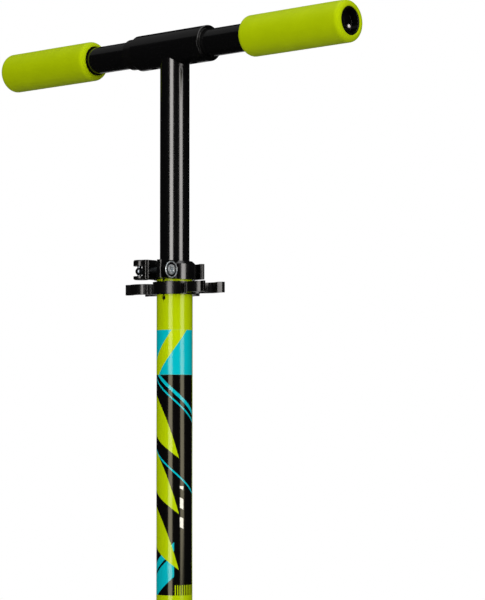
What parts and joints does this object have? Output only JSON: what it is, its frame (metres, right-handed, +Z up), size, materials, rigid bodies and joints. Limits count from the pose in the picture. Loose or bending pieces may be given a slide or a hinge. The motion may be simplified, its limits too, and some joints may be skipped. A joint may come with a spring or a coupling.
{
  "type": "folding kick scooter",
  "caption": "Folding kick scooter with telescopic T-bar, pull-out foam grips, quick-release collar, grip holder, folding neck and fender brake.",
  "frame": {"origin": "on the ground, midway between the two wheels, on the deck's middle plane", "axes": "+X forward, +Y to the rider's left, +Z up"},
  "size_m": [0.788, 0.4445, 0.9198],
  "materials": {
    "gloss_black": "gloss black paint on steel tube",
    "lime_paint": null,
    "satin_black_metal": "semi-gloss black paint on steel",
    "black_casting": "semi-gloss black on cast aluminium",
    "black_plastic": "moulded black nylon, light sheen",
    "wheel_plastic": "moulded black wheel core",
    "zinc_steel": "bright zinc plated",
    "lime_foam": "fine-celled lime foam",
    "cord": "braided elastic cord, melted tip",
    "wheel_pu": "cast polyurethane, lime",
    "deck_aluminium": "lime paint on extruded aluminium",
    "grip_tape": "black abrasive grip tape"
  },
  "bodies": {
    "deck": {"deck": "deck_aluminium", "grip_tape": "grip_tape", "front_bracket": "black_casting", "pivot_bolt": "zinc_steel", "rear_yoke": "black_casting", "deck_nuts": "zinc_steel", "deck_screws": "zinc_steel", "brake_pin": "zinc_steel", "brake_spring": "zinc_steel", "rear_wheel_axle": "zinc_steel"},
    "neck": {"neck": "black_casting", "headset_cups": "satin_black_metal", "headset_bearings": "zinc_steel", "fold_rod": "zinc_steel", "fold_nut": "zinc_steel"},
    "fold_lever": {"fold_lever": "black_plastic"},
    "steering": {"column": "lime_paint", "column_bush": "black_plastic", "clamp_ring": "black_casting", "clamp_rod": "zinc_steel", "clamp_nut": "zinc_steel", "clamp_saddle": "black_plastic", "grip_holder": "black_plastic", "holder_screw": "zinc_steel", "lower_clamp": "black_casting", "lower_clamp_bolts": "zinc_steel", "fork": "satin_black_metal", "steerer": "zinc_steel", "mudguard": "black_plastic", "mudguard_screw": "zinc_steel", "headset_nut": "satin_black_metal", "crown_race": "zinc_steel", "headset_cone": "satin_black_metal", "front_wheel_axle": "zinc_steel", "front_wheel_nut": "zinc_steel"},
    "clamp_lever": {"clamp_lever": "black_plastic"},
    "tbar": {"tbar_tube": "gloss_black", "bar_sleeve": "gloss_black", "tbar_guide_plug": "black_plastic"},
    "bar_left": {"left_bar_tube": "gloss_black", "left_reducer_bush": "black_plastic", "left_foam_grip": "lime_foam", "left_grip_liner": "black_plastic", "left_end_plug": "black_plastic", "left_bar_cord": "cord"},
    "bar_right": {"right_bar_tube": "gloss_black", "right_reducer_bush": "black_plastic", "right_foam_grip": "lime_foam", "right_grip_liner": "black_plastic", "right_end_plug": "black_plastic", "right_bar_cord": "cord"},
    "left_button": {"left_lock_button": "zinc_steel"},
    "right_button": {"right_lock_button": "zinc_steel"},
    "front_wheel": {"front_wheel_tyre": "wheel_pu", "front_wheel_core": "wheel_plastic", "front_wheel_bearings": "zinc_steel"},
    "rear_wheel": {"rear_wheel_tyre": "wheel_pu", "rear_wheel_core": "wheel_plastic", "rear_wheel_bearings": "zinc_steel"},
    "brake": {"fender_brake": "black_plastic"}
  },
  "joints": [
    {"name": "fold", "type": "hinge", "parent": "deck", "child": "neck", "pos_m": [0.23738, 0, 0.12148], "axis": [0, -1, 0], "range_deg": [0, 82]},
    {"name": "fold_lever_swing", "type": "hinge", "parent": "neck", "child": "fold_lever", "pos_m": [0.25619, -0.0282, 0.14737], "axis": [0.9976, 0, -0.0698], "range_deg": [0, 140]},
    {"name": "steer", "type": "hinge", "parent": "neck", "child": "steering", "pos_m": [0.32, 0, 0.0725], "axis": [-0.1392, 0, 0.9903], "continuous": true},
    {"name": "tbar_slide", "type": "slide", "parent": "steering", "child": "tbar", "axis": [-0.1392, 0, 0.9903], "range_m": [-0.13, 0.04]},
    {"name": "clamp_lever_swing", "type": "hinge", "parent": "steering", "child": "clamp_lever", "pos_m": [0.25989, -0.02, 0.69423], "axis": [-0.1392, 0, 0.9903], "range_deg": [0, 140]},
    {"name": "left_bar_pull", "type": "slide", "parent": "tbar", "child": "bar_left", "axis": [0, 1, 0], "range_m": [0, 0.06]},
    {"name": "right_bar_pull", "type": "slide", "parent": "tbar", "child": "bar_right", "axis": [0, -1, 0], "range_m": [-0.0115, 0.0485]},
    {"name": "left_button_press", "type": "slide", "parent": "bar_left", "child": "left_button", "axis": [-0.1392, 0, 0.9903], "range_m": [0, 0.0022], "stiffness_N_per_m": 400, "springref_m": -0.003},
    {"name": "right_button_press", "type": "slide", "parent": "bar_right", "child": "right_button", "axis": [-0.1392, 0, 0.9903], "range_m": [0, 0.0022], "stiffness_N_per_m": 400, "springref_m": -0.003},
    {"name": "front_wheel_spin", "type": "hinge", "parent": "steering", "child": "front_wheel", "pos_m": [0.32, 0, 0.0725], "axis": [0, 1, 0], "continuous": true},
    {"name": "rear_wheel_spin", "type": "hinge", "parent": "deck", "child": "rear_wheel", "pos_m": [-0.32, 0, 0.0725], "axis": [0, 1, 0], "continuous": true},
    {"name": "brake_press", "type": "hinge", "parent": "deck", "child": "brake", "pos_m": [-0.236, 0, 0.094], "axis": [0, -1, 0], "range_deg": [0, 4.6], "stiffness_Nm_per_rad": 2, "springref_deg": -6.88}
  ]
}
